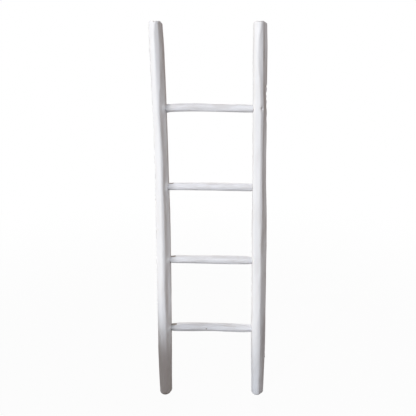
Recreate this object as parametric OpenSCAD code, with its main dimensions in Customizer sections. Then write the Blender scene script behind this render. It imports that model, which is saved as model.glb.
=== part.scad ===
/* [Ladder] */
// Height from the floor to the sawn tops of the poles
ladder_h = 1500; // [1350:10:1800]
// Height of the lowest rung above the floor
low_rung_z = 307; // [200:1:360]
// Distance from one rung up to the next
rung_pitch = 296; // [240:1:320]
// Distance between the poles' centres at their tops
top_span = 366; // [300:1:480]
// Distance between the poles' centres at the floor
foot_span = 383; // [300:1:480]
// How far the whole frame leans to the left at its top
frame_lean = 17; // [0:1:30]

/* [Poles] */
// Largest diameter of the left pole, in its lower half
left_belly_d = 58.5; // [50:0.5:64]
// Largest diameter of the right pole, in its lower half
right_belly_d = 59; // [50:0.5:64]
// Diameter of the left pole in its slimmer upper half
left_slim_d = 54; // [48:0.5:60]
// Diameter of the right pole in its slimmer upper half
right_slim_d = 52.5; // [48:0.5:60]
// Diameter of a pole where it meets the floor
foot_d = 51; // [44:0.5:58]
// Diameter of a pole at its sawn top
top_d = 49.5; // [44:0.5:56]
// Height over which a foot swells to its full girth
foot_run = 260; // [150:10:380]
// Height at which a pole starts to slim down
slim_from = 710; // [450:10:800]
// Height at which a pole has reached its slim upper girth
slim_to = 1000; // [850:10:1250]
// Length over which a pole's top is trimmed down
crown_run = 85; // [40:5:120]
// Radius of the rounded edge at both sawn ends of a pole
rim_r = 6; // [3:0.5:12]
// Bow of the left pole towards the right pole, halfway up
left_bow = 6.5; // [-15:0.5:15]
// Second sway of the left pole, out below and in above
left_sway = -2; // [-8:0.5:8]
// Bow of the left pole towards the wall, halfway up
left_back = 6; // [-12:0.5:12]
// Bow of the right pole away from the left pole, halfway up
right_bow = 1; // [-15:0.5:15]
// Second sway of the right pole, out below and in above
right_sway = 1; // [-8:0.5:8]
// Bow of the right pole towards the wall, halfway up
right_back = -5; // [-12:0.5:12]
// Depth of the flats that the drawknife left around a pole
shave = 0.9; // [0:0.1:1.5]

/* [Rungs] */
// Thickness of the rungs in their middle, bottom rung first
rung_d = [35, 34, 31, 30.5]; // [29:0.5:40]
// Growth in thickness of the rungs from left to right, bottom rung first
rung_growth = [-2, 2, 2.5, -1]; // [-4:0.5:4]
// How much lower the rungs sit at their right ends than at their left, bottom rung first
rung_drop = [3, 0, 1.5, 4]; // [-6:0.5:6]
// Upward bow of the rungs, bottom rung first
rung_arch = [1.5, 0.5, 0.5, 3.5]; // [-5:0.5:5]
// Bow of the rungs towards the wall, bottom rung first
rung_back = [2, -2.5, 1.5, -2]; // [-5:0.5:5]
// Length over which a rung's end is rounded down to its shoulder
shoulder_run = 32; // [15:1:60]
// Step from the shoulder down to the tenon
shoulder_step = 0.8; // [0.5:0.1:2]
// Depth of the flats that the drawknife left around a rung
rung_shave = 0.6; // [0:0.1:1]

/* [Joints] */
// Diameter of the round tenon at each end of a rung
tenon_d = 27; // [20:0.5:27.5]
// How far a tenon runs on past the centre of its pole
tenon_past = 9; // [6:0.5:14]
// Bevel around the tip of a tenon
tenon_bevel = 2; // [0.5:0.5:4]
// Clearance of a tenon in its socket, on the diameter
tenon_clear = 0.2; // [0.1:0.05:0.6]
// Air left behind the tip of a tenon in its socket
socket_air = 2; // [1:0.5:4]
// Gap between a rung's shoulder and its pole
seat_gap = 0.3; // [0.1:0.1:1]
// Diameter of the pegs that lock the tenons
peg_d = 6; // [4:0.5:8]
// Clearance of a peg in its hole, on the diameter
peg_clear = 0.1; // [0.05:0.05:0.3]
// How far a peg stays below the back of its pole
peg_sunk = 0.6; // [0.2:0.1:2]
// How far a peg runs on past the front of its tenon
peg_past = 4; // [2:0.5:6]
// Length of the cone at the tip of a peg
peg_tip = 3; // [1:0.5:4]

/* [Hidden] */

// The two sides of the ladder, and its rungs from the bottom up
left = 0;
right = 1;
rungs = [0, 1, 2, 3];

// White paint on the wood, and the bare wood of the pegs
paint = [0.95, 0.95, 0.95];
bare_wood = [0.62, 0.52, 0.42];

// Sides around a pole and a rung, and rings along them
pole_sides = 20;
rung_sides = 16;
ring_step = 28;
rung_rings = 16;
rim_steps = 3;

// Sides around tenons, sockets and pegs; a peg's hole has other corners than the tenon it crosses
round_sides = 64;
peg_hole_sides = 50;

// The drawknife's flats are two sets of lobes that wind slowly along the wood
lobes = [3, 5];
lobe_twist = [-160, 230];
lobe_share = [0.6, 0.4];
pole_turn = [25, 140];
rung_turn = [0, 70, 150, 230];

// A rung's bow is highest a little left of its middle
arch_skew = 0.35;

// A tenon is rooted this deep in its rung, and bores run out past the surface that they open in
tenon_root = 4;
overcut = 12;

function mix(a, b, t) = a + (b - a) * t;
function ease(t) = let (u = max(0, min(1, t))) u * u * (3 - 2 * u);

// Height of the drawknife's lobes at angle a and share t of the length, between -1 and 1
function lobe(a, t, turn) =
    lobe_share[0] * cos(lobes[0] * a + lobe_twist[0] * t + turn)
    + lobe_share[1] * cos(lobes[1] * a + lobe_twist[1] * t - turn);

// Centre line of a pole
function side_sign(side) = side == left ? -1 : 1;
function bow_x(side) = side == left ? left_bow : right_bow;
function sway_x(side) = side == left ? left_sway : right_sway;
function bow_y(side) = side == left ? left_back : right_back;
function pole_x(side, z) =
    let (t = z / ladder_h)
    side_sign(side) * mix(foot_span, top_span, t) / 2
    - frame_lean * t
    + bow_x(side) * sin(180 * t)
    + sway_x(side) * sin(360 * t);
function pole_y(side, z) = bow_y(side) * sin(180 * z / ladder_h);

// Girth of a pole along its height, and the distance of its surface from its centre line
function belly_d(side) = side == left ? left_belly_d : right_belly_d;
function slim_d(side) = side == left ? left_slim_d : right_slim_d;
function girth_r(side, z) =
    let (body = mix(belly_d(side), slim_d(side), ease((z - slim_from) / (slim_to - slim_from))))
    let (footed = mix(foot_d, body, ease(z / foot_run)))
    mix(top_d, footed, ease((ladder_h - z) / crown_run)) / 2;
function skin_r(side, z, a) = girth_r(side, z) + shave * lobe(a, z / ladder_h, pole_turn[side]);

// Height and inset of each ring of a pole: a rounded rim at both ends, even steps between
rim_rings = [
    for (i = [0 : rim_steps - 1])
        let (a = 90 * i / rim_steps)
        [rim_r * (1 - cos(a)), rim_r * (1 - sin(a))]
];
straight_h = ladder_h - 2 * rim_r;
ring_gaps = round(straight_h / ring_step);
pole_rings = concat(
    rim_rings,
    [for (i = [0 : ring_gaps]) [rim_r + straight_h * i / ring_gaps, 0]],
    [for (i = [rim_steps - 1 : -1 : 0]) [ladder_h - rim_rings[i][0], rim_rings[i][1]]]
);
function pole_points(side) = [
    for (ring = pole_rings)
    for (k = [0 : pole_sides - 1])
        let (z = ring[0])
        let (a = 360 * k / pole_sides)
        let (r = skin_r(side, z, a) - ring[1])
        [pole_x(side, z) + r * cos(a), pole_y(side, z) + r * sin(a), z]
];
left_points = pole_points(left);
right_points = pole_points(right);

// The origin lies on the floor under the middle of the ladder's outline
all_x = [for (p = concat(left_points, right_points)) p[0]];
all_y = [for (p = concat(left_points, right_points)) p[1]];
centre = [(min(all_x) + max(all_x)) / 2, (min(all_y) + max(all_y)) / 2, 0];

// Axis of a rung: a straight line between the centre lines of the two poles
function rung_z(i, side) = low_rung_z + i * rung_pitch - side_sign(side) * rung_drop[i] / 2;
function joint(i, side) =
    let (z = rung_z(i, side))
    [pole_x(side, z), pole_y(side, z), z];
function reach(i) = norm(joint(i, right) - joint(i, left));
function heading(i) = (joint(i, right) - joint(i, left)) / reach(i);

// Distance from a joint to where the flank of its pole, facing the other pole, ends
function flank(i, side) =
    let (inward = -side_sign(side) * heading(i))
    let (near = ring_step + tenon_d / 2)
    max([
        for (p = side == left ? left_points : right_points)
        if (abs(p[2] - rung_z(i, side)) < near)
            (p - joint(i, side)) * inward
    ]);
function body_from(i) = flank(i, left) + seat_gap;
function body_to(i) = reach(i) - flank(i, right) - seat_gap;

// Thickness of a rung along its body: rounded shoulders, and a slow growth to one side
shoulder_r = tenon_d / 2 + shoulder_step;
function shoulder_share(i, s) = min(1, min(s, 1 - s) * (body_to(i) - body_from(i)) / shoulder_run);
function rung_r(i, s, a) =
    let (full = (rung_d[i] + rung_growth[i] * (s - 0.5)) / 2)
    let (rise = sin(90 * shoulder_share(i, s)))
    mix(shoulder_r, full + rung_shave * lobe(a, s, rung_turn[i]), rise);
function rung_points(i) =
    let (from = body_from(i))
    let (to = body_to(i))
    [
        for (j = [0 : rung_rings])
        let (s = (1 - cos(180 * j / rung_rings)) / 2)
        let (up = rung_arch[i] * (sin(180 * s) + arch_skew * sin(360 * s)))
        let (back = rung_back[i] * sin(180 * s))
        for (k = [0 : rung_sides - 1])
            let (a = 360 * k / rung_sides)
            let (r = rung_r(i, s, a))
            [r * cos(a) - up, back + r * sin(a), mix(from, to, s)]
    ];

// Distance from a joint to the outer end of its peg, at the back of the pole
function peg_back(i, side) = skin_r(side, rung_z(i, side), 90) - peg_sunk;
peg_front = tenon_d / 2 + peg_past;

// A skin over rings of points, closed by a flat face at each end
module skin(points, sides) {
    rings = len(points) / sides;
    walls = [
        for (j = [0 : rings - 2])
        for (k = [0 : sides - 1])
        let (a = j * sides + k)
        let (b = j * sides + (k + 1) % sides)
        each [[a, a + sides, b + sides], [a, b + sides, b]]
    ];
    foot = [for (k = [0 : sides - 1]) k];
    head = [for (k = [sides - 1 : -1 : 0]) (rings - 1) * sides + k];
    polyhedron(points = points, faces = concat(walls, [foot, head]));
}

// Stands the ladder on its origin
module placed() {
    translate(-centre) children();
}

// Turns +Z along a rung, from its left joint; +Y points to the wall and -X up
module along_rung(i) {
    way = heading(i);
    translate(joint(i, left))
        rotate([0, acos(way[2]), atan2(way[1], way[0])])
            children();
}

// Moves from a rung's left joint to the joint on one side, with +Z pointing into the pole
module at_joint(i, side) {
    translate([0, 0, side == left ? 0 : reach(i)])
        mirror([0, 0, side == left ? 1 : 0])
            children();
}

// Socket for a tenon, seen from the pole's centre
module socket(i, side) {
    translate([0, 0, -flank(i, side) - overcut])
        cylinder(
            d = tenon_d + tenon_clear,
            h = flank(i, side) + overcut + tenon_past + socket_air,
            $fn = round_sides
        );
}

// Round bar from z = 0 up to h, drawn in to tip_d over the last tip_h of its length
module dowel(d, h, tip_d, tip_h) {
    rotate_extrude($fn = round_sides)
        polygon([[0, 0], [d / 2, 0], [d / 2, h - tip_h], [tip_d / 2, h], [0, h]]);
}

// Tenon with a bevelled tip, rooted in the shoulder of its rung
module tenon(i, side) {
    root = flank(i, side) + seat_gap + tenon_root;
    translate([0, 0, -root])
        dowel(tenon_d, root + tenon_past, tenon_d - 2 * tenon_bevel, tenon_bevel);
}

// Moves from a joint to the outer end of its peg, with +Z pointing into the pole
module at_peg(i, side) {
    translate([0, peg_back(i, side), 0])
        rotate([90, 0, 0])
            children();
}

// Hole for a peg, in from the back of a pole and blind at its front
module peg_hole(i, side) {
    at_peg(i, side)
        translate([0, 0, -overcut])
            cylinder(
                d = peg_d + peg_clear,
                h = overcut + peg_back(i, side) + peg_front + peg_clear,
                $fn = peg_hole_sides
            );
}

// Peg with a coned tip, driven in from the back of a pole and sawn off there
module peg(i, side) {
    color(bare_wood)
        placed()
            along_rung(i)
                at_joint(i, side)
                    at_peg(i, side)
                        difference() {
                            translate([0, 0, -overcut])
                                dowel(peg_d, overcut + peg_back(i, side) + peg_front, peg_d / 2, peg_tip);
                            translate([0, 0, -2 * overcut])
                                cylinder(d = 2 * peg_d, h = 2 * overcut, $fn = round_sides);
                        }
}

// Pole with a blind socket and a peg hole for each rung
module pole(side) {
    color(paint)
        placed()
            difference() {
                skin(side == left ? left_points : right_points, pole_sides);
                for (i = rungs)
                    along_rung(i)
                        at_joint(i, side) {
                            socket(i, side);
                            peg_hole(i, side);
                        }
            }
}

// Crooked rung with a round tenon at each end, drilled for its pegs
module rung(i) {
    color(paint)
        placed()
            along_rung(i)
                difference() {
                    union() {
                        skin(rung_points(i), rung_sides);
                        for (side = [left, right])
                            at_joint(i, side) tenon(i, side);
                    }
                    for (side = [left, right])
                        at_joint(i, side) peg_hole(i, side);
                }
}

module pole_left() {
    pole(left);
}

module pole_right() {
    pole(right);
}

module rung_1() {
    rung(0);
}

module rung_2() {
    rung(1);
}

module rung_3() {
    rung(2);
}

module rung_4() {
    rung(3);
}

module peg_1_left() {
    peg(0, left);
}

module peg_1_right() {
    peg(0, right);
}

module peg_2_left() {
    peg(1, left);
}

module peg_2_right() {
    peg(1, right);
}

module peg_3_left() {
    peg(2, left);
}

module peg_3_right() {
    peg(2, right);
}

module peg_4_left() {
    peg(3, left);
}

module peg_4_right() {
    peg(3, right);
}

pole_left();
pole_right();
rung_1();
rung_2();
rung_3();
rung_4();
peg_1_left();
peg_1_right();
peg_2_left();
peg_2_right();
peg_3_left();
peg_3_right();
peg_4_left();
peg_4_right();
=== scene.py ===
"""Looks of a rustic leaning ladder: two hand-shaven poles, four rungs and their pegs, painted white."""

import math
import random

import bmesh
import bpy
import numpy as np
from mathutils import Matrix, Vector, noise
from mathutils.bvhtree import BVHTree


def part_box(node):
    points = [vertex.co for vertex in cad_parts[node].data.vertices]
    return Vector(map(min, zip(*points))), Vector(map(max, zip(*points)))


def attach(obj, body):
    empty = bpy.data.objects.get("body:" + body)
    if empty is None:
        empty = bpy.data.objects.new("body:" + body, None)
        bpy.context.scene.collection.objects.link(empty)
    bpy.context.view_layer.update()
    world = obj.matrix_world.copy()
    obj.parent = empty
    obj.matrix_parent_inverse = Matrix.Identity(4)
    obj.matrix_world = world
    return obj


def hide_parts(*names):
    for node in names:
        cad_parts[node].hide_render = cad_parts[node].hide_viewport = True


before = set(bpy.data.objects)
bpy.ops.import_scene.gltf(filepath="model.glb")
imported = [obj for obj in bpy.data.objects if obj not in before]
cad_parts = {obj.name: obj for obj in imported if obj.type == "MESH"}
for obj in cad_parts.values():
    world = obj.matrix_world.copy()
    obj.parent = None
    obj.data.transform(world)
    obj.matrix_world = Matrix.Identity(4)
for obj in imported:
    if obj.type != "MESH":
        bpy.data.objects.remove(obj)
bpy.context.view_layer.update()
bpy.ops.object.select_all(action="DESELECT")


# Poles
# Each pole is one length of young trunk, peeled and shaven by hand with a drawknife to a many-sided
# round. It is sawn square at both ends, worn at its top and foot, and bored for the rungs and their
# pegs. Matt white paint covers it, thinner over the arrises and the knots.

POLES = ("pole_left", "pole_right")
RUNGS = ("rung_1", "rung_2", "rung_3", "rung_4")
SIDES = ("left", "right")

# Faces round a pole, cuts that divide it along its length, its rounded rims, and rings in its ends
POLE_SIDES = 144
POLE_CUTS = (22, 22)
POLE_RIM = 0.006
RIM_STEPS = 6
END_RINGS = 5
# A flat end looks along its bar by more than this
SQUARE_ON = 0.99
# How the skin of a CAD node is read: least and most points in one ring of a pole, how near each other
# points count as level, how far a point may stray from its ring, rounds to find a ring's centre, and how
# many lobes it has
POLE_RING = (14, 20)
SAME_LEVEL = 0.00005
STRAY = 0.002
CENTRE_ROUNDS = 4
LOBES = (3, 5)

# Arrises between the drawknife's flats, in degrees round a pole: 0 faces the front, 90 the right
POLE_ARRISES = {
    "pole_left": (-62, -12, 22, 76, 108, 142, 176, 212, 253),
    "pole_right": (-88, -48, 6, 34, 82, 114, 148, 188, 228),
}
# Where the photograph shows them, the front arrises follow these lines: height, then degrees
ARRIS_LINES = {
    "pole_left": {
        0: ((0.00, -62), (0.12, -66), (0.30, -82), (0.60, -64), (1.50, -60)),
        1: ((0.30, -20), (0.48, -17), (0.56, -9), (0.66, -5), (0.95, -7), (1.06, -3), (1.18, -18),
            (1.46, -13), (1.50, 2)),
        2: ((0.30, 9), (0.48, 8), (0.55, 10), (0.66, 17), (0.90, 8), (1.00, 15), (1.17, 2), (1.245, 5),
            (1.285, 19), (1.33, 21), (1.50, 23)),
        3: ((0.00, 48), (0.15, 52), (0.35, 76), (1.50, 76)),
    },
    "pole_right": {
        2: ((0.10, -6), (0.27, -8), (0.34, -12), (0.42, 2), (0.50, -8), (0.56, 4), (0.80, 0), (1.17, 6),
            (1.31, -5), (1.353, -17), (1.389, -21), (1.425, -17), (1.453, -12), (1.482, 4), (1.50, 6)),
        3: ((0.10, 10), (0.27, 11), (0.34, 8), (0.45, 13), (0.68, 11), (0.80, 20), (0.98, 22), (1.15, 32),
            (1.40, 24), (1.50, 26)),
    },
}
# How far arrises wander in degrees and over what lengths, the limits of the knife's strokes, how flat
# the flats are, and which way and by how much the trunk has grown oval
POLE_SHAPE = {
    "sway": 5, "waves": (0.55, 0.21), "stroke": (0.09, 0.26), "flatness": 0.92, "oval": (-40, 0.0018)
}
# Share of a flat's depth that is left standing where two strokes meet
STROKE_RIDGE = 0.35
# An arris is rubbed round over so many degrees to each side, by the mean of the skin at some taps, which
# are shares of them, and its paint is worn over the last number of degrees
ARRIS_ROUND = 5
ARRIS_TAPS = (-1, -0.5, 0, 0.5, 1)
ARRIS_WORN = 3.5

# Knots: degrees, height, width, and how far the wood swells round them
POLE_KNOTS = {
    "pole_left": (
        (-118, 0.215, 0.010, 0.0012),
        (150, 0.47, 0.008, 0.0010),
        (-40, 0.735, 0.005, 0.0004),
        (92, 0.80, 0.007, 0.0006),
        (205, 1.02, 0.010, 0.0012),
        (-95, 1.33, 0.007, 0.0008),
        (128, 1.39, 0.006, 0.0006),
    ),
    "pole_right": (
        (17, 1.198, 0.0090, 0.0020),
        (-60, 0.16, 0.008, 0.0008),
        (170, 0.40, 0.010, 0.0012),
        (78, 0.67, 0.007, 0.0006),
        (-150, 0.86, 0.009, 0.0012),
        (118, 1.07, 0.007, 0.0008),
        (-112, 1.40, 0.008, 0.0010),
    ),
}
# In shares of a knot's width: how far its swelling, its ring and its hollow core reach, and how long
# the first two are for their width
KNOT_SPREAD = 2.6
KNOT_RIM = 0.8
KNOT_CORE = 0.42
KNOT_LENGTH = 1.5
# In shares of its swelling: how high the ring and how deep the hollow is, and how far the grain is
# pushed aside
KNOT_RING = 0.4
KNOT_HOLLOW = 1.1
KNOT_PUSH = 0.75

# Dents, nicks and drying checks: degrees, height, width, length, depth. A negative depth is a swelling,
# such as the left pole has in front of each rung.
POLE_DENTS = {
    "pole_left": (
        (-90, 0.09, 0.035, 0.11, -0.0028),
        (90, 0.17, 0.035, 0.15, 0.0018),
        (165, 1.48, 0.0014, 0.065, 0.0030),
        (-165, 0.01, 0.0014, 0.070, 0.0030),
        (60, 0.06, 0.012, 0.020, 0.0016),
        (-30, 0.03, 0.009, 0.010, 0.0012),
        (80, 0.33, 0.010, 0.045, 0.0012),
        (10, 0.62, 0.008, 0.030, 0.0008),
        (-140, 0.58, 0.014, 0.060, 0.0014),
        (170, 1.24, 0.012, 0.050, 0.0012),
        (92, 0.90, 0.020, 0.90, 0.0015),
        (24, 1.38, 0.008, 0.10, 0.0010),
        (58, 0.308, 0.012, 0.014, -0.0040),
        (58, 0.605, 0.012, 0.014, -0.0040),
        (58, 0.901, 0.012, 0.014, -0.0040),
        (58, 1.197, 0.012, 0.014, -0.0040),
    ),
    "pole_right": (
        (17, 1.199, 0.0055, 0.008, 0.0030),
        (88, 0.178, 0.007, 0.006, -0.0028),
        (88, 1.275, 0.008, 0.0040, 0.0030),
        (88, 1.250, 0.008, 0.0040, 0.0030),
        (88, 1.231, 0.008, 0.0040, 0.0028),
        (176, 1.47, 0.0014, 0.055, 0.0030),
        (150, 0.02, 0.0014, 0.060, 0.0030),
        (90, 1.245, 0.014, 0.018, 0.0018),
        (86, 1.16, 0.012, 0.012, 0.0012),
        (92, 1.205, 0.012, 0.016, 0.0022),
        (0, 0.275, 0.007, 0.008, 0.0010),
        (95, 0.92, 0.012, 0.050, 0.0010),
        (-70, 0.52, 0.012, 0.050, 0.0012),
        (190, 0.73, 0.014, 0.060, 0.0014),
    ),
}
# Patches where the paint is rubbed off: degrees, height, width, length, strength
POLE_BARE = {
    "pole_left": (
        (-84, 0.285, 0.006, 0.030, 0.40),
        (86, 0.885, 0.005, 0.035, 0.45),
        (160, 0.66, 0.010, 0.050, 0.45),
        (-120, 1.21, 0.008, 0.040, 0.40),
    ),
    "pole_right": (
        (50, 1.37, 0.006, 0.060, 0.42),
        (84, 1.276, 0.011, 0.0026, 0.95),
        (89, 1.2495, 0.008, 0.0023, 0.80),
        (80, 1.232, 0.010, 0.0025, 0.85),
        (84, 0.178, 0.006, 0.0028, 0.75),
        (70, 0.55, 0.006, 0.050, 0.38),
        (-160, 1.15, 0.010, 0.050, 0.45),
        (150, 0.35, 0.008, 0.040, 0.42),
    ),
}
# Ends worn aslant: degrees, height of the end, how far from it the wear starts, and how deep it goes
POLE_WEAR = {
    "pole_left": (
        (96, 1.5, 0.011, 0.009),
        (-95, 1.5, 0.005, 0.003),
        (-50, 0.0, 0.010, 0.006),
        (120, 0.0, 0.008, 0.005),
    ),
    "pole_right": (
        (92, 1.5, 0.010, 0.014),
        (-100, 1.5, 0.007, 0.004),
        (60, 0.0, 0.010, 0.007),
        (-140, 0.0, 0.008, 0.004),
    ),
}
# Least cosine of the angle off a worn plane's way. It leaves the far side of the pole whole.
GRAZING = 0.1
# Radius over which the feet are worn round
POLE_FOOT = {"pole_left": 0.020, "pole_right": 0.015}
# Soft lumps all over the wood: how high they are, and how wide and long
LUMPS = 0.0004
LUMP_SIZE = (0.035, 0.12)
# Strength with which the paint is rubbed off the rims
WORN_RIM = 0.45

# The paint where it covers and where it is thin, the wood under it, and the dark colour of a painted shade
PAINT = (0.87, 0.87, 0.875, 1)
PAINT_THIN = (0.80, 0.78, 0.76, 1)
RAW_WOOD = (0.25, 0.19, 0.15, 1)
GREY_WOOD = (0.42, 0.375, 0.335, 1)
PAINTED_SHADE = (0.16, 0.15, 0.145, 1)
# Noise in them: how it is drawn out along the grain, its scale, detail and roughness
FIBRES = ((1, 1, 0.035), 420, 4, 0.6)
BRUSH = ((1, 1, 0.012), 900, 2, 0.5)
PATCHES = ((1, 1, 0.22), 55, 3, 0.55)
CLOUDS = ((1, 1, 0.5), 14, 2, 0.5)
NOISE_MEAN = 0.5
# Between which values patches and fibres thin the paint, clouds let the arrises through, fibres
# streak the bare wood, and paint comes off
THIN_PATCHES = (0.40, 0.72)
THIN_FIBRES = (0.45, 0.75)
WORN_CLOUDS = (0.45, 0.62)
STREAKS = (0.35, 0.65)
COMES_OFF = (0.42, 0.58)
# How much fibres, arrises and knots thin the paint, and how ragged fibres and patches leave its edge
THIN_SHARE = {"fibres": 0.7, "arris": 0.5, "knot": 0.7}
RAGGED = {"fibres": 0.9, "patches": 0.7}
# What makes the surface duller, and what stands out of it, in shares of the depth of its relief
DULLER = {"thinned": 0.12, "rubbed": 0.2, "brush": 0.1}
RELIEF = {"brush": 0.35, "fibres": 0.5, "patches": 0.35, "rubbed": 0.25, "rings": 0.5}
RELIEF_DEPTH = 0.0004
# Growth rings in the sawn ends
END_GRAIN = {"wave_type": "RINGS", "rings_direction": "Z", "wave_profile": "SAW"}
END_GRAIN_SIZE = {"Scale": 190.0, "Distortion": 4.0, "Detail": 2.0}

# Joints, with the sizes of the CAD part: a tenon's tip and radius, the play and air in its socket, the
# length of the socket's cutter, the same for a peg and its hole, and the faces round both cutters
TENON_TIP = 0.0012
TENON_RADIUS = 0.0135
SOCKET_PLAY = 0.0001
SOCKET_AIR = 0.002
SOCKET_DEPTH = 0.060
PEG_RADIUS = 0.003
PEG_PLAY = 0.00005
PEG_AIR = 0.0001
PEG_MOUTH = 0.012
BORE_SIDES = 64
# Edges that turn by more than this stay sharp
SHARP = math.radians(40)


def pick(piece, kind, test):
    """In edit mode, selects the vertices, edges or faces of a piece that pass a test, and nothing else."""
    bpy.ops.mesh.select_mode(type=kind)
    bpy.ops.mesh.select_all(action="DESELECT")
    mesh = bmesh.from_edit_mesh(piece.data)
    group = {"VERT": mesh.verts, "EDGE": mesh.edges, "FACE": mesh.faces}[kind]
    for element in group:
        if test(element):
            element.select_set(True)
    bmesh.update_edit_mesh(piece.data)


def rise(edge):
    return abs(edge.verts[0].co.z - edge.verts[1].co.z)


def round_bar(name, sides, radius, length, rim, rim_steps):
    """A round bar that stands on the origin, with rounded rims. Left in edit mode."""
    bpy.ops.mesh.primitive_cylinder_add(
        vertices=sides, radius=radius, depth=length, end_fill_type="NGON", location=(0, 0, length / 2)
    )
    piece = bpy.context.object
    piece.name = piece.data.name = name
    bpy.ops.object.transform_apply(location=True)
    bpy.ops.object.mode_set(mode="EDIT")
    pick(piece, "EDGE", lambda edge: rise(edge) < rim)
    bpy.ops.mesh.bevel(offset=rim, segments=rim_steps, profile=0.5, affect="EDGES")
    return piece


def pick_end(piece, sides, way):
    """Selects the flat end of a bar that faces a way along it, or both ends if the way is 0."""
    pick(
        piece, "FACE",
        lambda face: len(face.verts) == sides and face.normal.z * (way or face.normal.z) > SQUARE_ON
    )


def cut_rings(piece, shortest, cuts, low=0.0, high=math.inf):
    """Divides the long edges of a bar between two heights, so that it has fine rings all along."""
    for count in cuts:
        pick(
            piece, "EDGE",
            lambda edge: rise(edge) > shortest and all(low <= corner.co.z <= high for corner in edge.verts)
        )
        bpy.ops.mesh.subdivide(number_cuts=count)


def cad_points(node):
    """The corners of a CAD node, each once."""
    points = np.array([vertex.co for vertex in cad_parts[node].data.vertices])
    return np.unique(np.round(points, 6), axis=0)


def fitted_ring(u, v):
    """Centre, mean radius and lobes of one ring of points."""
    centre = np.array([u.mean(), v.mean()])
    for _ in range(CENTRE_ROUNDS):
        angle = np.arctan2(v - centre[1], u - centre[0])
        waves = [np.ones_like(angle), np.cos(angle), np.sin(angle)]
        waves += [wave(n * angle) for n in LOBES for wave in (np.cos, np.sin)]
        reach = np.hypot(u - centre[0], v - centre[1])
        share = np.linalg.lstsq(np.stack(waves, 1), reach, rcond=None)[0]
        centre += share[1:3]
    return [*centre, share[0], *share[3:]]


def measured(points, ring_size):
    """Stations along a node: the place of each ring of points, its centre, mean radius and lobes."""
    stations = []
    levels = np.sort(points[:, 2])
    levels = levels[np.insert(np.diff(levels) > SAME_LEVEL, 0, True)]
    for level in levels:
        ring = points[abs(points[:, 2] - level) < 2 * SAME_LEVEL]
        reach = np.hypot(*(ring[:, :2] - ring[:, :2].mean(0)).T)
        ring = ring[abs(reach - np.median(reach)) < STRAY]
        if ring_size[0] <= len(ring) <= ring_size[1]:
            stations.append([level, *fitted_ring(ring[:, 0], ring[:, 1])])
    return np.array(stations)


def between(stations, place):
    """What measured() gives, read at any places along the node."""
    return [np.interp(place, stations[:, 0], column) for column in stations[:, 1:].T]


def lobed(shares, angle):
    """How far the lobes stand out of the CAD skin's mean radius at an angle round its centre."""
    waves = [wave(n * angle) for n in LOBES for wave in (np.cos, np.sin)]
    return sum(share * wave for share, wave in zip(shares, waves))


def swaying(rng, size, lengths):
    """A slow wander along a piece, from waves whose phases are drawn."""
    phases = [rng.uniform(0, math.tau) for _ in lengths]

    def sway(place):
        return size * sum(
            np.sin(math.tau * place / length + phase) / (1 + order)
            for order, (length, phase) in enumerate(zip(lengths, phases))
        )

    return sway


def stroked(rng, length, limits):
    """Depth of the knife along a flat: 1 in the middle of each stroke and 0 where two strokes meet."""
    ends = [-rng.uniform(0, limits[1])]
    while ends[-1] < length:
        ends.append(ends[-1] + rng.uniform(*limits))
    return lambda place: np.abs(np.sin(math.pi * np.interp(place, ends, range(len(ends)))))


def facing(degrees):
    """Angle in a bar's own plane of a direction given in degrees from its front."""
    return np.radians(degrees - 90)


def turned_from(angle, other):
    return np.angle(np.exp(1j * (angle - other)))


def pared(angle, skin, arrises, depths):
    """Radius of a skin whose stretches between arrises are pared towards flats."""
    result = skin.copy()
    for first, second, depth in zip(arrises, arrises[1:] + arrises[:1], depths):
        past = np.mod(angle - first, math.tau)
        width = np.mod(second - first, math.tau)
        chord = skin * np.sin(width) / (np.sin(past) + np.sin(width - past))
        result = np.where(past < width, skin + depth * (chord - skin), result)
    return result


def closeness(angle, place, girth, spot, width, length):
    """Bell over a spot on a bar's side: 1 at the spot, falling off over a width and a length."""
    across = turned_from(angle, facing(spot[0])) * girth / width
    along = (place - spot[1]) / length
    return np.exp(-(across**2) - along**2)


def spotted(angle, place, girth, spots):
    """Bells of all the spots on a bar's side, each as strong as its last number, added up."""
    return sum(closeness(angle, place, girth, spot, *spot[2:4]) * spot[4] for spot in spots)


def lumpy(angle, place, girth, size, seed):
    """Soft lumps between -1 and 1 over a bar's side."""
    spots = (girth * np.cos(angle) / size[0], girth * np.sin(angle) / size[0], place / size[1] + seed)
    return np.array([noise.noise(spot) for spot in np.stack(spots, 1)])


def keep(piece, name, kind, values):
    """Stores values for a piece's points, for its finish to read."""
    layer = piece.data.attributes.new(name, kind, "POINT")
    layer.data.foreach_set("value" if kind == "FLOAT" else "vector", np.ascontiguousarray(values).ravel())


def points_of(piece):
    points = np.empty(len(piece.data.vertices) * 3)
    piece.data.vertices.foreach_get("co", points)
    return points.reshape(-1, 3)


def set_points(piece, points):
    piece.data.vertices.foreach_set("co", points.ravel())
    piece.data.update()


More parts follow.
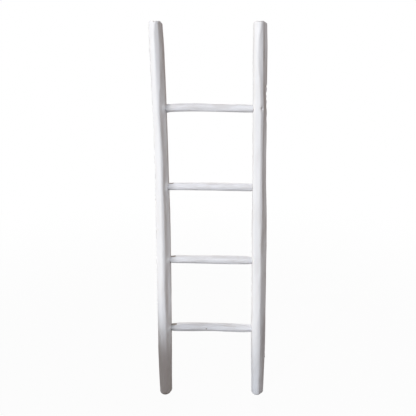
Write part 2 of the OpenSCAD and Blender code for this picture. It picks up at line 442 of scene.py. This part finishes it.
def shave(piece, seed, stations, length, arrises, lines, shape, knots, dents, wear=(), foot=0.0):
    """Gives the body of a straight bar its bows and girth, the knife's flats, knots and dents."""
    rng = random.Random(seed)
    points = points_of(piece)
    angle = np.arctan2(points[:, 1], points[:, 0])
    reach = np.hypot(points[:, 0], points[:, 1])
    place = points[:, 2]
    body = (place > -SAME_LEVEL) & (place < length + SAME_LEVEL)
    centre_x, centre_y, girth, *shares = between(stations, place)
    turns = []
    depths = []
    for order, degrees in enumerate(arrises):
        sway = swaying(rng, shape["sway"], shape["waves"])(place)
        if order in lines:
            places, line = zip(*lines[order])
            degrees = np.interp(place, places, line)
            sway /= shape["sway"]
        turns.append(facing(degrees + sway))
        meet = 1 - stroked(rng, length, shape["stroke"])(place)
        depths.append(shape["flatness"] * (1 - STROKE_RIDGE * meet))
    taps = [angle + math.radians(ARRIS_ROUND) * tap for tap in ARRIS_TAPS]
    skin = sum(pared(tap, girth, turns, depths) for tap in taps) / len(taps)
    skin += lobed(shares, angle) + LUMPS * lumpy(angle, place, girth, LUMP_SIZE, seed)
    skin += shape["oval"][1] * np.cos(2 * (angle - facing(shape["oval"][0])))
    grain_turn = np.zeros_like(angle)
    knotty = np.zeros_like(angle)
    for knot in knots:
        spread, core, rim = (knot[2] * share for share in (KNOT_SPREAD, KNOT_CORE, KNOT_RIM))
        wide = closeness(angle, place, girth, knot, spread, spread * KNOT_LENGTH)
        ring = closeness(angle, place, girth, knot, rim, rim * KNOT_LENGTH)
        hollow = closeness(angle, place, girth, knot, core, core)
        skin += knot[3] * (wide + KNOT_RING * ring - KNOT_HOLLOW * hollow)
        grain_turn -= KNOT_PUSH * wide * turned_from(angle, facing(knot[0]))
        knotty = np.maximum(knotty, ring)
    for dent in dents:
        skin -= dent[4] * closeness(angle, place, girth, dent, dent[2], dent[3])
    skin -= foot - np.sqrt(foot**2 - np.clip(foot - place, 0, foot) ** 2)
    for degrees, end, start, depth in wear:
        plane = girth - depth * np.clip(1 - np.abs(place - end) / start, 0, 1)
        skin = np.minimum(skin, plane / np.maximum(np.cos(angle - facing(degrees)), GRAZING))
    worn = sum(np.exp(-np.degrees(turned_from(angle, turn)) ** 2 / ARRIS_WORN**2) for turn in turns)
    keep(piece, "knot", "FLOAT", knotty)
    keep(piece, "arris", "FLOAT", np.clip(worn, 0, 1))
    grain = (reach * np.cos(angle + grain_turn), reach * np.sin(angle + grain_turn), place + seed)
    keep(piece, "grain", "FLOAT_VECTOR", np.stack(grain, 1))
    share = reach / reach[body].max() * skin
    shaped = np.stack([centre_x + share * np.cos(angle), centre_y + share * np.sin(angle), place], 1)
    points[body] = shaped[body]
    set_points(piece, points)


def rung_seat(node):
    """Tip of a rung's left tenon, the turn whose +Z runs along the rung with +X down, and its length."""
    points = cad_points(node)
    ends = (points[:, 0].min(), points[:, 0].max())
    left, right = (points[abs(points[:, 0] - end) < TENON_TIP].mean(0) for end in ends)
    whole = Vector(right - left)
    along = whole.normalized()
    back = Vector((0, 0, 1)).cross(along).normalized()
    turn = Matrix((back.cross(along), back, along)).transposed()
    return Vector(left), turn, whole.length


def cutter(radius, start, way, length):
    """A round cutter from a start along a way."""
    bpy.ops.mesh.primitive_cylinder_add(
        vertices=BORE_SIDES,
        radius=radius,
        depth=length,
        end_fill_type="NGON",
        location=start + way * length / 2,
        rotation=way.to_track_quat("Z", "Y").to_euler(),
    )
    bpy.ops.object.transform_apply(location=True, rotation=True)
    return bpy.context.object


def socket_cutter(rung, side):
    """Cutter for the blind socket of a tenon, from its bottom out of the pole."""
    tip, turn, whole = rung_seat(rung)
    along = turn.col[2]
    if side == "right":
        tip, along = tip + along * whole, -along
    return cutter(TENON_RADIUS + SOCKET_PLAY, tip - along * SOCKET_AIR, along, SOCKET_DEPTH)


def peg_cutter(rung, side):
    """Cutter for the hole of a peg, from behind the pole to just past the peg's tip."""
    low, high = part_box(f"peg_{rung[-1]}_{side}")
    back = rung_seat(rung)[1].col[1]
    half = (high.y - low.y) / 2
    start = (low + high) / 2 + back * (half + PEG_MOUTH)
    return cutter(PEG_RADIUS + PEG_PLAY, start, -back, 2 * half + PEG_MOUTH + PEG_AIR)


def bore(piece, cutters):
    """Cuts holes that don't touch each other out of a piece."""
    bpy.ops.object.select_all(action="DESELECT")
    for tool in cutters:
        tool.select_set(True)
    bpy.context.view_layer.objects.active = cutters[0]
    bpy.ops.object.join()
    bpy.ops.object.select_all(action="DESELECT")
    piece.select_set(True)
    bpy.context.view_layer.objects.active = piece
    cut = piece.modifiers.new("bore", "BOOLEAN")
    cut.operation = "DIFFERENCE"
    cut.solver = "EXACT"
    cut.object = cutters[0]
    bpy.ops.object.modifier_apply(modifier=cut.name)
    bpy.data.objects.remove(cutters[0])


class Link:
    """An output of a shader node, used in sums as a number is."""

    def __init__(self, finish, socket):
        self.finish = finish
        self.socket = socket

    def sum(self, operation, first, second):
        return self.finish.node("Math", {"operation": operation}, first=first, second=second)

    def __add__(self, other):
        return self.sum("ADD", self, other)

    def __sub__(self, other):
        return self.sum("SUBTRACT", self, other)

    def __mul__(self, other):
        return self.sum("MULTIPLY", self, other)

    def __rsub__(self, other):
        return self.sum("SUBTRACT", other, self)

    __radd__ = __add__
    __rmul__ = __mul__

    def held(self):
        """The same value, held between 0 and 1."""
        return self.finish.node("Clamp", Value=self)


class Finish:
    """A material or a world, built node by node."""

    # Sockets that share a name on their node go by their order
    ORDERED = {"first": 0, "second": 1, "share": 0, "before": 6, "after": 7, "lower": 1, "upper": 2}

    def __init__(self, holder):
        holder.use_nodes = True
        self.holder = holder
        self.tree = holder.node_tree
        self.tree.nodes.clear()

    def node(self, kind, settings=None, out=0, **sockets):
        """Adds a node: its settings first, then the values or links of its sockets."""
        node = self.tree.nodes.new("ShaderNode" + kind)
        for name, value in (settings or {}).items():
            setattr(node, name, value)
        for name, value in sockets.items():
            socket = node.inputs[self.ORDERED.get(name, name.replace("_", " "))]
            if isinstance(value, Link):
                self.tree.links.new(value.socket, socket)
            else:
                socket.default_value = value
        return Link(self, node.outputs[out]) if node.outputs else None

    def mixed(self, share, before, after):
        """Two colours, mixed by the share of the second."""
        return self.node("Mix", {"data_type": "RGBA"}, out=2, share=share, before=before, after=after)

    def kept(self, name, out="Fac"):
        """Values that keep() stored on the piece."""
        return self.node("Attribute", {"attribute_name": name}, out=out)

    def speckle(self, place, stretch, scale, detail, rough):
        """Noise over a place, drawn out by a stretch for each axis."""
        drawn = self.node("Mapping", Vector=place, Scale=stretch)
        return self.node("TexNoise", Vector=drawn, Scale=scale, Detail=detail, Roughness=rough)

    def step(self, value, low, high):
        """0 below low, 1 above high, and smooth between."""
        smooth = {"interpolation_type": "SMOOTHSTEP"}
        return self.node("MapRange", smooth, Value=value, From_Min=low, From_Max=high)


def painted_wood(name, cover, thin, mottle, roughness):
    """Matt paint brushed along hand-shaven wood: thin over the arrises and knots, bare where rubbed off."""
    finish = Finish(bpy.data.materials.new(name))
    grain = finish.kept("grain", "Vector")
    fibres = finish.speckle(grain, *FIBRES)
    brush = finish.speckle(grain, *BRUSH)
    patches = finish.speckle(grain, *PATCHES)
    clouds = finish.speckle(grain, *CLOUDS)
    thinned = (
        finish.step(patches, *THIN_PATCHES) * mottle
        + finish.step(fibres, *THIN_FIBRES) * (mottle * THIN_SHARE["fibres"])
        + finish.kept("arris") * finish.step(clouds, *WORN_CLOUDS) * THIN_SHARE["arris"]
        + finish.kept("knot") * THIN_SHARE["knot"]
    ).held()
    rubbed = finish.step(
        finish.kept("bare")
        + (fibres - NOISE_MEAN) * RAGGED["fibres"]
        + (patches - NOISE_MEAN) * RAGGED["patches"],
        *COMES_OFF,
    )
    wood = finish.mixed(finish.step(fibres, *STREAKS), GREY_WOOD, RAW_WOOD)
    unshaded = finish.mixed(rubbed, finish.mixed(thinned, cover, thin), wood)
    # Painted shade: darkens paint and bare wood alike where a piece stores it, for the shadow of the left
    # pole on a rung's end
    shaded = (finish.kept("painted_shade") * (fibres + NOISE_MEAN)).held()
    dull = (
        roughness
        + thinned * DULLER["thinned"]
        + rubbed * DULLER["rubbed"]
        + (brush - NOISE_MEAN) * DULLER["brush"]
    ).held()
    rings = finish.node("TexWave", END_GRAIN, out="Fac", Vector=grain, **END_GRAIN_SIZE)
    height = (
        brush * RELIEF["brush"]
        + fibres * RELIEF["fibres"]
        + patches * RELIEF["patches"]
        - rubbed * RELIEF["rubbed"]
        + rings * finish.kept("end") * RELIEF["rings"]
    )
    shader = finish.node(
        "BsdfPrincipled",
        Base_Color=finish.mixed(shaded, unshaded, PAINTED_SHADE),
        Roughness=dull,
        Normal=finish.node("Bump", Strength=1.0, Distance=RELIEF_DEPTH, Height=height),
    )
    finish.node("OutputMaterial", Surface=shader)
    return finish.holder


pole_paint = painted_wood("pole_paint", PAINT, PAINT_THIN, mottle=0.35, roughness=0.55)
pole_skins = {}
for seed, node in enumerate(POLES):
    side = SIDES[seed]
    low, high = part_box(node)
    girth = (high.y - low.y) / 2
    pole = round_bar(node + "_wood", POLE_SIDES, girth, high.z, POLE_RIM, RIM_STEPS)
    pick_end(pole, POLE_SIDES, 0)
    for _ in range(END_RINGS):
        bpy.ops.mesh.inset(thickness=(girth - POLE_RIM) / (END_RINGS + 1))
    bpy.ops.mesh.poke()
    cut_rings(pole, POLE_RIM, POLE_CUTS)
    bpy.ops.object.mode_set(mode="OBJECT")
    stations = measured(cad_points(node), POLE_RING)
    off_end = np.minimum(stations[:, 0], high.z - stations[:, 0])
    stations = stations[off_end > POLE_RIM - SAME_LEVEL]
    shave(
        pole, seed, stations, high.z, POLE_ARRISES[node], ARRIS_LINES[node], POLE_SHAPE,
        POLE_KNOTS[node], POLE_DENTS[node], POLE_WEAR[node], POLE_FOOT[node]
    )
    points = points_of(pole)
    set_points(pole, np.clip(points, low, high))
    off_end = np.minimum(points[:, 2], high.z - points[:, 2])
    middle = np.interp(points[:, 2], *stations[:, :2].T)
    angle = np.arctan2(points[:, 1] - points[:, 1].mean(), points[:, 0] - middle)
    bare = WORN_RIM * np.clip(1 - off_end / POLE_RIM, 0, 1)
    bare += spotted(angle, points[:, 2], girth, POLE_BARE[node])
    keep(pole, "bare", "FLOAT", bare)
    keep(pole, "end", "FLOAT", off_end < SAME_LEVEL)
    pole.data.materials.append(pole_paint)
    pole_skins[side] = BVHTree.FromObject(pole, bpy.context.evaluated_depsgraph_get())
    bore(pole, [socket_cutter(rung, side) for rung in RUNGS])
    bore(pole, [peg_cutter(rung, side) for rung in RUNGS])
    bpy.ops.object.shade_smooth_by_angle(angle=SHARP)
    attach(pole, "root")
    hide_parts(node)
    bpy.ops.object.select_all(action="DESELECT")


# Rungs
# Each rung is a thinner stick of the same wood, a little crooked, shaven and painted like the poles.
# A round tenon is whittled on each end and its shoulder is scribed to the pole, where the thin paint
# leaves some brown wood bare.

# Faces round a rung, cuts along it and the share of its length over which an edge is cut, least and
# most points in a ring of its CAD node, and its rims
RUNG_SIDES = 72
RUNG_CUTS = (9, 9)
RUNG_LONG = 1 / 20
RUNG_RING = (14, 16)
RUNG_RIM = 0.0012
RUNG_RIM_STEPS = 2
# How much thicker than its tenon a rung is at least, the length of its end that is drawn out to the
# pole, the gap left there, and the bevel round a tenon's tip
SHOULDER = 0.0003
SCRIBED = 0.018
SEAT_GAP = 0.0003
TENON_BEVEL = 0.002

# Degrees round a rung: 0 faces the front, 90 down and -90 up
RUNG_ARRISES = {
    "rung_1": (-94, -48, 6, 50, 92, 140, 196, 232),
    "rung_2": (-90, -46, -8, 30, 68, 114, 160, 216),
    "rung_3": (-90, -52, -2, 34, 70, 112, 158, 214),
    "rung_4": (-90, -50, -4, 30, 64, 112, 162, 214),
}
RUNG_SHAPE = {
    "sway": 7, "waves": (0.31, 0.12), "stroke": (0.05, 0.16), "flatness": 0.85, "oval": (0, 0.0)
}
# How far a rung's body lies above the line of its tenons: place from the left shoulder, then height
RUNG_LIFT = {
    "rung_1": ((0, 0.0), (0.31, 0.0)),
    "rung_2": ((0, 0.0020), (0.03, 0.0031), (0.20, 0.0028), (0.28, 0.0016), (0.31, 0.0008)),
    "rung_3": ((0, 0.0010), (0.03, 0.0020), (0.28, 0.0020), (0.31, 0.0010)),
    "rung_4": ((0, 0.0), (0.18, 0.0), (0.24, 0.0020), (0.28, 0.0020), (0.31, 0.0010)),
}
# Knots and dents, listed as a pole's are, with the place from the left shoulder for the height
RUNG_KNOTS = {
    "rung_1": ((-8, 0.135, 0.004, 0.0006), (150, 0.24, 0.005, 0.0008)),
    "rung_2": ((-150, 0.10, 0.005, 0.0008), (60, 0.23, 0.003, 0.0004)),
    "rung_3": ((200, 0.21, 0.005, 0.0008), (-60, 0.08, 0.003, 0.0003)),
    "rung_4": ((-70, 0.25, 0.003, 0.0003), (130, 0.07, 0.005, 0.0008)),
}
RUNG_DENTS = {
    "rung_1": (
        (-80, 0.010, 0.010, 0.010, 0.0016),
        (70, 0.17, 0.008, 0.030, 0.0008),
        (-8, 0.135, 0.003, 0.004, 0.0010),
    ),
    "rung_2": ((-60, 0.215, 0.008, 0.040, 0.0006), (110, 0.06, 0.008, 0.020, 0.0008)),
    "rung_3": ((-75, 0.155, 0.008, 0.035, 0.0006), (40, 0.24, 0.008, 0.020, 0.0006)),
    "rung_4": (
        (90, 0.165, 0.008, 0.040, 0.0007),
        (-80, 0.06, 0.008, 0.030, 0.0006),
        (95, 0.0, 0.014, 0.007, -0.0030),
    ),
}
# Bare patches: degrees, place from the left shoulder, width, length, strength
RUNG_BARE = {
    "rung_1": (
        (-82, 0.007, 0.008, 0.0075, 1.6),
        (80, 0.30, 0.010, 0.006, 0.6),
        (-8, 0.135, 0.003, 0.004, 0.8),
    ),
    "rung_2": ((-78, 0.006, 0.007, 0.010, 0.95), (-120, 0.30, 0.010, 0.008, 0.7)),
    "rung_3": ((-84, 0.006, 0.008, 0.009, 1.15), (70, 0.300, 0.010, 0.006, 0.6)),
    "rung_4": ((-100, 0.003, 0.008, 0.005, 0.5), (110, 0.002, 0.010, 0.006, 0.5)),
}
# Strength at which no paint is left
BARE_ALL = 1.5
# Painted shade on a rung, darker towards its left end: places from the left shoulder with its share there,
# then how far from the left joint the painted shadow of the left pole lies in the corner, and its share in
# it
RUNG_PAINTED_SHADE = {
    "rung_1": (((0, 0.22), (0.10, 0.20), (0.31, 0.0)), 0.008, 0.45),
    "rung_2": (((0, 0.08), (0.10, 0.06), (0.16, 0.0)), 0.014, 0.35),
    "rung_3": (((0, 0.0), (0.31, 0.0)), 0.014, 0.35),
    "rung_4": (((0, 0.0), (0.31, 0.0)), 0.009, 0.55),
}
# Its paint where it covers and where it is thin
RUNG_PAINT = (0.865, 0.87, 0.895, 1)
RUNG_PAINT_THIN = (0.755, 0.745, 0.75, 1)


def whittle(rung, root, lengths):
    """In edit mode, draws a bevelled tenon out of each flat end of a bar."""
    for way, length in zip((-1, 1), lengths):
        pick_end(rung, RUNG_SIDES, way)
        bpy.ops.mesh.inset(thickness=rung.dimensions.x / 2 - RUNG_RIM - root)
        for out in (length - TENON_BEVEL, TENON_BEVEL):
            bpy.ops.mesh.extrude_region_move(TRANSFORM_OT_translate={"value": (0, 0, way * out)})
        tip = 1 - TENON_BEVEL / TENON_RADIUS
        bpy.ops.transform.resize(value=(tip, tip, 1))
        bpy.ops.mesh.poke()


def scribe(rung, seat, length, skins):
    """Draws out both ends of a rung's body until they meet the skins of the poles."""
    points = points_of(rung)
    turn = seat.to_3x3()
    for way, end, skin in zip((-1, 1), (0, length), skins):
        off = way * (end - points[:, 2])
        for index in np.flatnonzero((off > -SAME_LEVEL) & (off < SCRIBED)):
            x, y, _ = points[index]
            start = seat @ Vector((x, y, end - way * SCRIBED))
            hit, _, _, distance = skin.ray_cast(start, turn.col[2] * way)
            if hit:
                gap = max(distance - SCRIBED - SEAT_GAP, 0)
                points[index, 2] += way * gap * (1 - max(off[index], 0) / SCRIBED) ** 2
    set_points(rung, points)


rung_paint = painted_wood("rung_paint", RUNG_PAINT, RUNG_PAINT_THIN, mottle=1.0, roughness=0.6)
for seed, node in enumerate(RUNGS, start=len(POLES)):
    tip, turn, whole = rung_seat(node)
    stations = measured((cad_points(node) - np.array(tip)) @ np.array(turn), RUNG_RING)
    stations = stations[stations[:, 3] > TENON_RADIUS + SHOULDER]
    shoulder = stations[0, 0]
    body = stations[-1, 0] - shoulder
    stations[:, 0] -= shoulder
    stations[:, 1] -= np.interp(stations[:, 0], *zip(*RUNG_LIFT[node]))
    girth = stations[:, 3].max()
    root = TENON_RADIUS * girth / stations[0, 3]
    rung = round_bar(node + "_wood", RUNG_SIDES, girth, body, RUNG_RIM, RUNG_RIM_STEPS)
    whittle(rung, root, (shoulder, whole - shoulder - body))
    cut_rings(rung, body * RUNG_LONG, RUNG_CUTS, 0, body)
    bpy.ops.object.mode_set(mode="OBJECT")
    turned = points_of(rung)
    shave(rung, seed, stations, body, RUNG_ARRISES[node], {}, RUNG_SHAPE, RUNG_KNOTS[node], RUNG_DENTS[node])
    points = points_of(rung)
    tenons = np.hypot(turned[:, 0], turned[:, 1]) < root + SAME_LEVEL
    points[tenons] = turned[tenons] * (TENON_RADIUS / root, TENON_RADIUS / root, 1)
    set_points(rung, points)
    angle = np.arctan2(points[:, 1], points[:, 0])
    bare = spotted(angle, points[:, 2], girth, RUNG_BARE[node])
    keep(rung, "bare", "FLOAT", np.where(tenons, BARE_ALL, bare))
    keep(rung, "end", "FLOAT", np.abs(points[:, 2] - body / 2) > body / 2 + TENON_BEVEL)
    # Painted shade along the rung, and a painted shadow of the left pole in the corner at its left end
    lines, joint, share = RUNG_PAINTED_SHADE[node]
    painted_shade = np.interp(points[:, 2], *zip(*lines)) + share * np.exp(-((points[:, 2] / joint) ** 2))
    keep(rung, "painted_shade", "FLOAT", painted_shade)
    seat = Matrix.Translation(tip + turn.col[2] * shoulder) @ turn.to_4x4()
    scribe(rung, seat, body, (pole_skins["left"], pole_skins["right"]))
    rung.data.transform(seat)
    rung.data.materials.append(rung_paint)
    bore(rung, [peg_cutter(node, side) for side in SIDES])
    bpy.ops.object.shade_smooth_by_angle(angle=SHARP)
    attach(rung, "root")
    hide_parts(node)
    bpy.ops.object.select_all(action="DESELECT")


# Pegs
# Eight pegs, whittled from offcuts, are driven in from the back through the poles and the tenons and
# sawn off. The painter's brush went over their outer ends.

# Faces round a peg, cuts along it, and its rim
PEG_SIDES = 24
PEG_CUTS = (15,)
PEG_RIM = 0.0002
# Length of a peg's point, and its share of the peg's radius at the tip
PEG_TIP = 0.003
PEG_POINT = 0.6
# Strength with which the paint is rubbed off the outer ends
PEG_PAINTED = 0.2

peg_wood = painted_wood("peg_wood", PAINT, PAINT_THIN, mottle=0.9, roughness=0.6)
for rung in RUNGS:
    back = rung_seat(rung)[1].col[1]
    for side in SIDES:
        node = f"peg_{rung[-1]}_{side}"
        low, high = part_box(node)
        length = high.y - low.y
        peg = round_bar(node + "_wood", PEG_SIDES, PEG_RADIUS, length, PEG_RIM, 1)
        cut_rings(peg, length / 2, PEG_CUTS)
        bpy.ops.object.mode_set(mode="OBJECT")
        points = points_of(peg)
        points[:, :2] *= np.clip(PEG_POINT + (1 - PEG_POINT) * points[:, 2:] / PEG_TIP, 0, 1)
        set_points(peg, points)
        keep(peg, "bare", "FLOAT", np.where(points[:, 2] > length - 2 * PEG_RIM, PEG_PAINTED, BARE_ALL))
        keep(peg, "knot", "FLOAT", np.zeros(len(points)))
        keep(peg, "arris", "FLOAT", np.zeros(len(points)))
        keep(peg, "grain", "FLOAT_VECTOR", points)
        keep(peg, "end", "FLOAT", points[:, 2] > length - SAME_LEVEL)
        seat = Matrix.Translation((low + high) / 2) @ back.to_track_quat("Z", "X").to_matrix().to_4x4()
        peg.data.transform(seat @ Matrix.Translation((0, 0, -length / 2)))
        peg.data.materials.append(peg_wood)
        bpy.ops.object.shade_smooth_by_angle(angle=SHARP)
        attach(peg, "root")
        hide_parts(node)
        bpy.ops.object.select_all(action="DESELECT")


# Studio
# The camera that took the photograph, two lamps from the left, where its window and front light were,
# softer ones above and behind, a weak one from the right, and a pale floor in a white background.

# Fitted to the photograph: where the camera stands, how far it looks down in degrees, and its lens
CAMERA_PLACE = (-0.0127, -2.213, 1.5)
CAMERA_DOWN = 17.1626
SENSOR = 36
LENS = 52.43

# Lamps: degrees from the front and up, distance, share of white, colour, radius, aim, reach, soft edge.
# The first two fade out towards the floor, as the light in the photograph does.
LAMPS = {
    "window": (-66, 7, 14, 0.27, (1.08, 1.015, 0.91), 0.06, (1.8, 0.0, 1.95), 2.4, 0.3),
    "front": (-39, 9, 14, 0.470, (0.905, 0.995, 1.11), 0.06, (1.8, 0.0, 1.77), 2.5, 0.08),
    "top": (-30, 60, 9, 0.15, (0.95, 1.0, 1.06), 0.80, (0.0, 0.0, 0.75), 3.5, 0.3),
    "wall": (70, 6, 14, 0.07, (1.03, 1.0, 0.98), 0.06, (-1.8, 0.0, 2.05), 2.4, 0.3),
    "rear": (184, 30, 9, 0.58, (1.0, 0.99, 0.98), 0.80, (0.0, 0.0, 0.75), 3.5, 0.3),
}
AMBIENT = 0.15
AMBIENT_COLOUR = (1.22, 0.98, 0.88, 1)
# The floor: its own tone, the share of white that the camera sees in it, and where it turns all white
FLOOR_SIDES = 96
FLOOR_RADIUS = 7
FLOOR_TONE = (0.42, 0.42, 0.42, 1)
FLOOR_GLOW = 0.965
FLOOR_FADE = (1.0, 3.0)


def add_camera():
    data = bpy.data.cameras.new("camera")
    data.sensor_width = SENSOR
    data.lens = LENS
    camera = bpy.data.objects.new("camera", data)
    camera.location = CAMERA_PLACE
    camera.rotation_euler = (math.radians(90 - CAMERA_DOWN), 0, 0)
    bpy.context.scene.collection.objects.link(camera)
    bpy.context.scene.camera = camera


def add_lamp(name, azimuth, height, distance, share, colour, radius, aim, reach, blend):
    """A soft spot whose light on what faces it at its aim is a share of white, out to a reach."""
    # A spot of 4 pi^2 d^2 watts shows white as white at a distance d
    azimuth, height = math.radians(azimuth), math.radians(height)
    flat = math.cos(height)
    way = Vector((math.sin(azimuth) * flat, -math.cos(azimuth) * flat, math.sin(height)))
    data = bpy.data.lights.new(name, "SPOT")
    data.energy = share * 4 * math.pi**2 * distance**2
    data.color = colour
    data.shadow_soft_size = radius
    data.spot_size = 2 * math.atan(reach / distance)
    data.spot_blend = blend
    spot = bpy.data.objects.new(name, data)
    spot.location = Vector(aim) + way * distance
    spot.rotation_euler = way.to_track_quat("Z", "Y").to_euler()
    bpy.context.scene.collection.objects.link(spot)


def add_world():
    """A dim warm light from all round, which the camera sees as white."""
    sky = Finish(bpy.data.worlds.new("studio"))
    dim = sky.node("Background", Color=AMBIENT_COLOUR, Strength=AMBIENT)
    white = sky.node("Background", Color=(1, 1, 1, 1))
    seen = sky.node("LightPath", out="Is Camera Ray")
    sky.node("OutputWorld", Surface=sky.node("MixShader", share=seen, lower=dim, upper=white))
    bpy.context.scene.world = sky.holder


def add_floor():
    """A matt pale floor that the camera sees as nearly white, and as all white further off."""
    bpy.ops.mesh.primitive_circle_add(vertices=FLOOR_SIDES, radius=FLOOR_RADIUS, fill_type="NGON")
    floor = bpy.context.object
    floor.name = "floor"
    finish = Finish(bpy.data.materials.new("floor"))
    place = finish.node("TexCoord", out="Object")
    distance = finish.node("VectorMath", {"operation": "LENGTH"}, out="Value", first=place)
    far = finish.step(distance, *FLOOR_FADE)
    seen = finish.node("LightPath", out="Is Camera Ray")
    white = seen * (FLOOR_GLOW + (1 - FLOOR_GLOW) * far)
    matt = finish.node("BsdfDiffuse", Color=FLOOR_TONE)
    mix = finish.node("MixShader", share=white, lower=matt, upper=finish.node("Emission"))
    finish.node("OutputMaterial", Surface=mix)
    floor.data.materials.append(finish.holder)


add_camera()
for name, settings in LAMPS.items():
    add_lamp(name, *settings)
add_world()
add_floor()
bpy.context.scene.view_settings.view_transform = "Standard"
